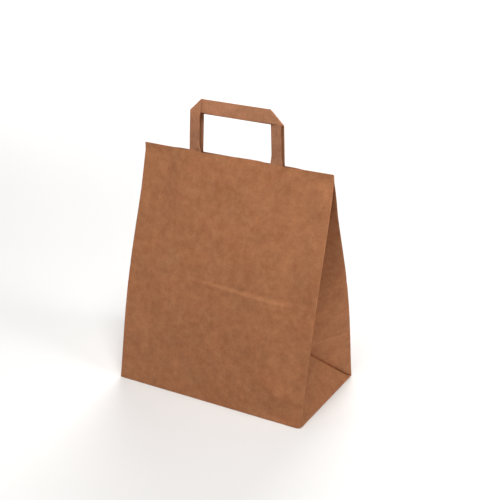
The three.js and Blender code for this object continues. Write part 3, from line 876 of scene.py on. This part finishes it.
def draw_strip(name, pairs):
    """Start with the first stretch as a plane and extrude its far edge from pair to pair."""
    select_only()
    bpy.ops.mesh.primitive_plane_add(size=STRIP_WIDTH)
    strip = bpy.context.object
    strip.name = name
    corners = sorted(strip.data.vertices, key=lambda v: (v.co.y, v.co.x))
    for corner, target in zip(corners, (*pairs[0], *pairs[1])):
        corner.co = target
    bpy.ops.object.mode_set(mode="EDIT")
    last = pairs[1]
    for pair in pairs[2:]:
        edges_where(strip, lambda a, b: {which_end(a, last), which_end(b, last)} == {0, 1})
        bpy.ops.mesh.extrude_edges_move(TRANSFORM_OT_translate={"value": pair[0] - last[0]})
        carried = last[1] + pair[0] - last[0]  # where the move has left the outer end
        shape = bmesh.from_edit_mesh(strip.data)
        for corner in [v for v in shape.verts if v.select]:
            corner.select = (corner.co - pair[0]).length > (corner.co - carried).length
        bmesh.update_edit_mesh(strip.data)
        bpy.ops.transform.translate(value=pair[1] - carried)
        last = pair
    bpy.ops.object.mode_set(mode="OBJECT")
    print(name, "drawn along", len(pairs), "stations")
    return strip


# %% Twist the two legs of a strip
TWISTS = {  # how far each leg turns, and how far its pivot lies from its middle
    LEFT: (math.radians(14), -STRIP_WIDTH / 2),
    RIGHT: (math.radians(17), 0.3 * MM),
}
TWIST_RAMP, TWIST_ABOVE_LIP, TWIST_INTO_MITRE = 9 * MM, 1 * MM, 4 * MM


def twist_legs(strip, lip, crown):
    """Turn the legs a little about an upright line each, between the lip and the mitres."""
    low, high = lip + TWIST_ABOVE_LIP, crown - STRIP_WIDTH + TWIST_INTO_MITRE
    for corner in strip.data.vertices:
        x, y, z = corner.co
        side = RIGHT if x > 0 else LEFT
        angle, pivot = TWISTS[side]
        angle *= smooth((z - low) / TWIST_RAMP) * smooth((high - z) / TWIST_RAMP)
        pivot += side * (LEG_CENTRE - (z - lip) * math.tan(SPREAD))
        corner.co.x = pivot + (x - pivot) * math.cos(angle)
        corner.co.y = y - (x - pivot) * math.sin(angle)


print("twists, degrees:", [round(math.degrees(angle)) for angle, _ in TWISTS.values()])

# %% Make the two handles
def make_handle(name, face, drop):
    """A whole handle: half a strip drawn and mirrored, then laid three times as its plies."""
    strip = draw_strip(name, stations_of(face, drop))
    bpy.ops.object.mode_set(mode="EDIT")
    bpy.ops.mesh.select_all(action="SELECT")
    bpy.ops.mesh.symmetrize(direction="POSITIVE_X", threshold=SAME_PLACE)
    bpy.ops.mesh.select_all(action="SELECT")
    bpy.ops.mesh.remove_doubles(threshold=SAME_PLACE)
    bpy.ops.mesh.normals_make_consistent(inside=False)
    bpy.ops.object.mode_set(mode="OBJECT")
    if face == FRONT:
        lip = panel_top(face)[0].z
        twist_legs(strip, lip, lip + HANDLE_RISE - drop)
    plies = [strip]
    for _ in range(2):
        ply = strip.copy()
        ply.data = strip.data.copy()
        bpy.context.collection.objects.link(ply)
        plies.append(ply)
    for ply, layer in zip(plies, (0, -1, 1)):
        thicken(ply, PLY, 2 * layer * PLY_STEP / PLY)
    select_only(*plies[1:], strip)
    bpy.ops.object.join()
    aim_outwards(strip)
    return strip


front_strip = make_handle("front_strip", FRONT, 0)
back_strip = make_handle("back_strip", BACK, BACK_HANDLE_DROP)
back_strip.rotation_euler.z = math.pi
select_only(back_strip)
bpy.ops.object.transform_apply(location=True, rotation=True, scale=True)
for strip, node, slot in ((front_strip, "front_handle", "front_strip"),
                          (back_strip, "back_handle", "back_strip")):
    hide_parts(node)
    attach(strip, "root")
    print(strip.name, [round(v / MM, 1) for v in (*strip.bound_box[0], *strip.bound_box[6])])

# %% [markdown]
# ## The patches
# A rectangle of paper is glued inside each panel over the ends of the two legs. It lies flat on the
# panel and rises over each leg, so it starts as a flat plane, is cut in columns where it bends, and the
# columns over a leg are moved off the panel.

# %% Raise a patch over the legs
PATCH_WIDTH, PATCH_HEIGHT, PATCH_BELOW_LIP, PATCH_RAMP = 142 * MM, 46 * MM, 4 * MM, 3 * MM
LEG_CLEARANCE = 0.4 * MM
HUMP = STRIP_THICKNESS + GLUE


def make_patch(name, face):
    """A patch that lies on the inside of its panel and rises over the two legs."""
    inner = HANDLE_SPAN / 2 - STRIP_WIDTH - LEG_CLEARANCE
    outer = HANDLE_SPAN / 2 + HANDLE_GRIP * math.tan(SPREAD) + LEG_CLEARANCE
    select_only()
    bpy.ops.mesh.primitive_plane_add(size=1)
    patch = bpy.context.object
    patch.name = name
    patch.scale = (PATCH_WIDTH, PATCH_HEIGHT, 1)
    bpy.ops.object.transform_apply(location=True, rotation=True, scale=True)
    bpy.ops.object.mode_set(mode="EDIT")
    for side in (-1, 1):
        for x in (inner - PATCH_RAMP, inner, outer, outer + PATCH_RAMP):
            cut(patch, ACROSS * side * x, ACROSS)
    for y in (-1, 0, 1):
        cut(patch, DEEP * y * PATCH_HEIGHT / 4, DEEP)
    faces_where(patch, lambda m, n: inner < abs(m.x) < outer)
    bpy.ops.transform.translate(value=(0, 0, HUMP))
    bpy.ops.object.mode_set(mode="OBJECT")
    lip, _, inward, upward = panel_top(face)
    lie = Matrix((ACROSS, upward, inward)).transposed().to_4x4()
    lie.translation = lip + inward * GLUE - upward * (PATCH_BELOW_LIP + PATCH_HEIGHT / 2)
    patch.data.transform(lie)
    if face == BACK:
        patch.data.transform(Matrix.Rotation(math.pi, 4, "Z"))
    patch.data.update()
    thicken(patch, PAPER, -1)
    aim_outwards(patch)
    return patch


print("rise of a patch over a leg, mm:", round(HUMP / MM, 2))

# %% Lay the two patches
for name, face, node in (("front_patch_sheet", FRONT, "front_patch"),
                         ("back_patch_sheet", BACK, "back_patch")):
    patch = make_patch(name, face)
    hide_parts(node)
    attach(patch, "root")
    want = [[round(v / MM, 1) for v in corner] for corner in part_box(node)]
    print(name, [round(v / MM, 1) for v in (*patch.bound_box[0], *patch.bound_box[6])], "solid", want)

# %% [markdown]
# ## Kraft paper
# Kraft paper is unbleached wood pulp, pressed and dried against a polished cylinder. It is brown, nearly
# matt, and its colour is uneven in three sizes: clouds a few centimetres wide, a mottle of a few
# millimetres to a centimetre, and single fibres. The pulp itself is a little redder in some places and
# yellower in others. Fine ribs about 2 mm apart run up the web. Where it is folded, the fibres break and
# the paper looks a little paler. A scan of real paper would show all this at once, but noise at the
# right sizes, laid out on the unrolled web, has no seams and follows every fold.

# %% Helpers for colours and nodes
def linear(code):
    """An sRGB hex colour as the linear red, green, blue and alpha that the shader takes."""
    channels = [int(code[i:i + 2], 16) / 255 for i in (1, 3, 5)]
    straight = [c / 12.92 if c <= 0.04045 else ((c + 0.055) / 1.055) ** 2.4 for c in channels]
    return (*straight, 1)


def add_node(tree, kind, inputs, output=0, **settings):
    """Add a node with its settings and give one of its outputs. An input is a value or another output."""
    node = tree.nodes.new(kind)
    for name, value in settings.items():
        setattr(node, name, value)
    for name, value in inputs.items():
        if isinstance(value, bpy.types.NodeSocket):
            tree.links.new(value, node.inputs[name])
        else:
            node.inputs[name].default_value = value
    return node.outputs[output]


def line_at(tree, coordinate, at, width):
    """1 on a line at one value of a coordinate, falling to 0 a width away on both sides."""
    away = add_node(tree, "ShaderNodeMath", {0: coordinate, 1: at}, operation="SUBTRACT")
    away = add_node(tree, "ShaderNodeMath", {0: away}, operation="ABSOLUTE")
    return add_node(tree, "ShaderNodeMath", {0: away, 1: -1 / width, 2: 1},
                    operation="MULTIPLY_ADD", use_clamp=True)


print("a middle grey in linear light:", [round(c, 3) for c in linear("#808080")])

# %% [markdown]
# ## Wear and painted highlights
# A fold or a rub breaks the fibres at the surface, and the paper gets paler there. Some pale lines are
# painted highlights instead: the one along the mitres of a handle stands for light on that folded edge,
# and those above the ridge of the front and along the ledges of the gussets are partly wear, partly
# painted highlight. Each is a soft line on the unrolled web, bounded by a second one where it doesn't
# run the whole way.

# %% Find the pale lines: wear and painted highlights
# Pale lines: along the folds and the foot they are wear, along the mitres a painted highlight, and on the
# ledges and above the ridge partly wear, partly painted highlight
FOLD_WORN, FOOT_WORN, MITRE_HIGHLIGHT = 0.9 * MM, 1.8 * MM, 2 * MM  # how far the paleness reaches
LEDGE_WEAR_AND_HIGHLIGHT, LEDGE_PALENESS = 2 * MM, 1.3
PALE_LINE_ABOVE_RIDGE, PRESSED_WEAR_AND_HIGHLIGHT = 1.5 * MM, 3.6 * MM
RUBBED_PALENESS = 1.4  # the corner of the foot that the bag was put down on
RUBBED_HEIGHT, RUBBED_REACH, RUBBED_MIDDLE, RUBBED_LENGTH = 2 * MM, 6 * MM, 100 * MM, 50 * MM
MITRE_LINE = LEG_CENTRE + panel_top(FRONT)[0].z + HANDLE_RISE - STRIP_WIDTH / 2


def wear_and_highlights_on_web(tree, across, high):
    """The pale lines of the bag sheet, wear and painted highlight: each one's line, its bound and its
    paleness.
    """
    side = add_node(tree, "ShaderNodeMath", {0: across}, operation="ABSOLUTE")
    from_valley = add_node(tree, "ShaderNodeMath", {0: side, 1: HALF_WIDTH + HALF_DEPTH},
                           operation="SUBTRACT")
    from_valley = add_node(tree, "ShaderNodeMath", {0: from_valley}, operation="ABSOLUTE")
    in_gusset = add_node(tree, "ShaderNodeMath", {0: from_valley, 1: HALF_DEPTH}, operation="LESS_THAN")
    slope = (LEDGE_LOW - LEDGE_HIGH) / HALF_DEPTH
    over_ledge = add_node(tree, "ShaderNodeMath", {0: from_valley, 1: slope, 2: high},
                          operation="MULTIPLY_ADD")
    tilted = add_node(tree, "ShaderNodeMath", {0: across, 1: RIDGE_TILT, 2: high},
                      operation="MULTIPLY_ADD")
    return [
        # a pale line along each gusset's ledge: partly wear of the soft crease, partly a painted highlight
        # where the ledge catches the light
        (line_at(tree, over_ledge, LEDGE_LOW, LEDGE_WEAR_AND_HIGHLIGHT), in_gusset, LEDGE_PALENESS),
        # a pale line on the upper slope of the front's ridge: partly wear of the pressed crease, partly a
        # painted highlight of the lit slope
        (line_at(tree, tilted, RIDGE_AT_MIDDLE + PALE_LINE_ABOVE_RIDGE, PRESSED_WEAR_AND_HIGHLIGHT),
         line_at(tree, across, RIDGE_MIDDLE, RIDGE_LENGTH), 1),
        (line_at(tree, side, HALF_WIDTH, FOLD_WORN), 1, 1),
        (line_at(tree, side, HALF_WIDTH + 2 * HALF_DEPTH, FOLD_WORN), 1, 1),
        (line_at(tree, high, 0, FOOT_WORN), 1, 1),
        (line_at(tree, high, RUBBED_HEIGHT, RUBBED_REACH),
         line_at(tree, across, RUBBED_MIDDLE, RUBBED_LENGTH), RUBBED_PALENESS),
    ]


def painted_highlight_on_strip(tree, across, high):
    """The painted highlight of a handle: a pale line along the folded edge of its mitres."""
    side = add_node(tree, "ShaderNodeMath", {0: across}, operation="ABSOLUTE")
    mitre = add_node(tree, "ShaderNodeMath", {0: side, 1: high}, operation="ADD")
    # a painted highlight along the folded edge of the mitres, where that edge faces the light
    return [(line_at(tree, mitre, MITRE_LINE, MITRE_HIGHLIGHT), 1, 1)]


print("the mitre's edge at the middle of the leg, mm up:", round((MITRE_LINE - LEG_CENTRE) / MM, 1))

# %% [markdown]
# ## Mixing the kraft
# The patterns are weighed and added to one shade between a dark and a light brown. The weights follow
# how strongly each shows on such paper: the mottle most, the ribs least. Real fibres are some 0.03 mm
# thick, too fine to see from here, so they are drawn coarse enough to leave a trace.

# %% The sizes and colours of kraft paper
RIB_SPACING, RIB_WANDER = 2.1 * MM, 0.6  # the wander is a share of the spacing
MOTTLE_SIZE, CLOUD_SIZE, FIBRE_SIZE, PULP_SIZE = 11 * MM, 45 * MM, 0.55 * MM, 40 * MM
MOTTLE_ROUGHNESS, PULP_ROUGHNESS = 0.9, 0.85  # of the noise, so high that it is fine as well as coarse
FIBRE_STRETCH = (1, 0.35, 0.35)  # fibres lie along the web
PULP_PLACE = (0.4, 0.7, 0.2)  # another place in the noise, so that the tint has a pattern of its own
CLOUD_SHARE, MOTTLE_SHARE, FIBRE_SHARE, RIB_SHARE, SHADE_START = 0.8, 2.5, 0.5, 0.13, -1.42
WEAR_AND_HIGHLIGHT_SHARE = 0.8
KRAFT_DARK, KRAFT_LIGHT = "#945e3c", "#b17750"
STRIP_DARK, STRIP_LIGHT = "#966547", "#b57e5c"
PULP_RED, PULP_YELLOW = (1.12, 0.965, 0.935, 1), (0.89, 1.03, 1.06, 1)  # they multiply the brown
RIB_RELIEF, BUMP_STRENGTH, BUMP_HEIGHT = 0.25, 0.25, 0.12 * MM
SMOOTHEST, ROUGHNESS_SPREAD = 0.62, 0.18
PAPER_IOR, PAPER_GLOSS = 1.45, 0.3
print("ribs across the front:", round(WIDTH / RIB_SPACING))

# %% Make the kraft paper
def kraft(name, from_web, dark, light):
    """Machine-glazed kraft: brown, uneven in several sizes, ribbed, nearly matt with a faint sheen."""
    material = bpy.data.materials.new(name)
    material.use_nodes = True
    tree = material.node_tree
    shader = tree.nodes["Principled BSDF"]
    if from_web:
        start = add_node(tree, "ShaderNodeUVMap", {}, uv_map="web")
        scale, origin = (WEB, WEB, WEB), (-WEB_LEFT, -WEB_FOOT, 0)
    else:
        start = add_node(tree, "ShaderNodeTexCoord", {}, output="Object")
        scale, origin = (1, 1, 1), (0, 0, 0)
    metres = add_node(tree, "ShaderNodeMapping", {"Vector": start, "Location": origin, "Scale": scale})
    across = add_node(tree, "ShaderNodeSeparateXYZ", {"Vector": metres})
    high = across.node.outputs["Y" if from_web else "Z"]

    grain = add_node(tree, "ShaderNodeMapping", {"Vector": metres, "Scale": FIBRE_STRETCH})
    clouds = add_node(tree, "ShaderNodeTexNoise", {"Vector": metres, "Scale": 1 / CLOUD_SIZE, "Detail": 3})
    mottle = add_node(tree, "ShaderNodeTexNoise", {
        "Vector": metres, "Scale": 1 / MOTTLE_SIZE, "Detail": 4, "Roughness": MOTTLE_ROUGHNESS,
    })
    fibres = add_node(tree, "ShaderNodeTexNoise", {"Vector": grain, "Scale": 1 / FIBRE_SIZE, "Detail": 2})
    ribs = add_node(tree, "ShaderNodeMath", {0: mottle, 1: RIB_WANDER * RIB_SPACING, 2: across},
                    operation="MULTIPLY_ADD")
    ribs = add_node(tree, "ShaderNodeMath", {0: ribs, 1: math.tau / RIB_SPACING}, operation="MULTIPLY")
    ribs = add_node(tree, "ShaderNodeMath", {0: ribs}, operation="SINE")

    shade = SHADE_START
    for pattern, share in ((clouds, CLOUD_SHARE), (mottle, MOTTLE_SHARE),
                           (fibres, FIBRE_SHARE), (ribs, RIB_SHARE)):
        shade = add_node(tree, "ShaderNodeMath", {0: pattern, 1: share, 2: shade},
                         operation="MULTIPLY_ADD")
    shade.node.use_clamp = True
    # the pale lines add up: wear, painted highlights, and lines that are partly both
    wear_and_highlight = 0
    for line, bound, paleness in (wear_and_highlights_on_web if from_web else painted_highlight_on_strip)(tree, across, high):
        line = add_node(tree, "ShaderNodeMath", {0: line, 1: bound}, operation="MULTIPLY")
        line = add_node(tree, "ShaderNodeMath", {0: line, 1: paleness}, operation="MULTIPLY")
        wear_and_highlight = add_node(tree, "ShaderNodeMath", {0: line, 1: wear_and_highlight}, operation="MAXIMUM")
    wear_and_highlight = add_node(tree, "ShaderNodeMath", {0: wear_and_highlight, 1: clouds}, operation="MULTIPLY")
    shade = add_node(tree, "ShaderNodeMath", {0: wear_and_highlight, 1: WEAR_AND_HIGHLIGHT_SHARE, 2: shade},
                     operation="MULTIPLY_ADD", use_clamp=True)

    brown = add_node(tree, "ShaderNodeMix", {"Factor": shade, "A": linear(dark), "B": linear(light)},
                     output="Result", data_type="RGBA")
    elsewhere = add_node(tree, "ShaderNodeMapping", {"Vector": metres, "Location": PULP_PLACE})
    pulp = add_node(tree, "ShaderNodeTexNoise", {
        "Vector": elsewhere, "Scale": 1 / PULP_SIZE, "Detail": 4, "Roughness": PULP_ROUGHNESS,
    })
    tint = add_node(tree, "ShaderNodeMix", {"Factor": pulp, "A": PULP_RED, "B": PULP_YELLOW},
                    output="Result", data_type="RGBA")
    tinted = add_node(tree, "ShaderNodeMix", {"Factor": 1, "A": brown, "B": tint},
                      output="Result", data_type="RGBA", blend_type="MULTIPLY")
    relief = add_node(tree, "ShaderNodeMath", {0: ribs, 1: RIB_RELIEF, 2: fibres},
                      operation="MULTIPLY_ADD")
    relief = add_node(tree, "ShaderNodeMath", {0: relief, 1: mottle}, operation="ADD")
    bump = add_node(tree, "ShaderNodeBump",
                    {"Height": relief, "Strength": BUMP_STRENGTH, "Distance": BUMP_HEIGHT})
    rough = add_node(tree, "ShaderNodeMath", {0: mottle, 1: ROUGHNESS_SPREAD, 2: SMOOTHEST},
                     operation="MULTIPLY_ADD")
    for name, made in (("Base Color", tinted), ("Normal", bump), ("Roughness", rough)):
        tree.links.new(made, shader.inputs[name])
    shader.inputs["IOR"].default_value = PAPER_IOR
    shader.inputs["Specular IOR Level"].default_value = PAPER_GLOSS
    return material


web_kraft = kraft("kraft_web", True, KRAFT_DARK, KRAFT_LIGHT)
strip_kraft = kraft("kraft_strip", False, STRIP_DARK, STRIP_LIGHT)
print("materials:", web_kraft.name, strip_kraft.name)

# %% Give every piece its paper
def give(piece, material):
    """Let a piece have this material alone."""
    piece.data.materials.clear()
    piece.data.materials.append(material)


give(sheet, web_kraft)
for piece in (front_strip, back_strip, bpy.data.objects["front_patch_sheet"],
              bpy.data.objects["back_patch_sheet"]):
    give(piece, strip_kraft)
print("sheet of", sheet.data.materials[0].name, "and strips of", front_strip.data.materials[0].name)

# %% [markdown]
# ## The floor and the light
# A plain pale floor and soft lights let the paper show itself. The main soft box hangs close above the
# front of the bag, a little to the right. Near a light, the lower part of a panel gets less of it, so
# the front grows darker towards the floor, and the front fold shades the upper gusset. A wide box on
# the right opens up the gusset, a weak one on the left keeps the front from going flat, and one over
# the floor behind keeps the background pale.

# %% Lay the floor
FLOOR_SIZE, FLOOR_PALE, FLOOR_ROUGHNESS = 8, "#f2f1ef", 0.9
select_only()
bpy.ops.mesh.primitive_plane_add(size=FLOOR_SIZE)
floor = bpy.context.object
floor.name = "floor"
pale = bpy.data.materials.new("pale_floor")
pale.use_nodes = True
floor_shader = pale.node_tree.nodes["Principled BSDF"]
floor_shader.inputs["Base Color"].default_value = linear(FLOOR_PALE)
floor_shader.inputs["Roughness"].default_value = FLOOR_ROUGHNESS
give(floor, pale)
print("floor, m:", [round(d) for d in floor.dimensions])

# %% Hang the lights
STUDIO_GLOW = 0.12  # how much light comes evenly from all round
BAG_MIDDLE = (0, 0, 0.15)

world = bpy.data.worlds.new("studio")
world.use_nodes = True
glow = world.node_tree.nodes["Background"]
glow.inputs["Color"].default_value = linear("#ffffff")
glow.inputs["Strength"].default_value = STUDIO_GLOW
bpy.context.scene.world = world
bpy.context.scene.view_settings.view_transform = "Standard"


def soft_box(name, place, size, power, aimed_at=BAG_MIDDLE):
    """A square light of a size in metres and a power in watts, turned towards a point."""
    light = bpy.data.lights.new(name, "AREA")
    light.size = size
    light.energy = power
    box = bpy.data.objects.new(name, light)
    bpy.context.collection.objects.link(box)
    box.location = place
    box.rotation_euler = (Vector(aimed_at) - Vector(place)).to_track_quat("-Z", "Y").to_euler()


soft_box("key_light", (0.21, -0.37, 1.06), 0.4, 8.0)
soft_box("right_light", (2.0, 0, 1.3), 0.9, 16)
soft_box("left_light", (-2.0, -1.15, 0.75), 0.9, 8)
soft_box("floor_light", (-1.2, 3.4, 2.2), 2.5, 220, (-1.2, 3.4, 0))
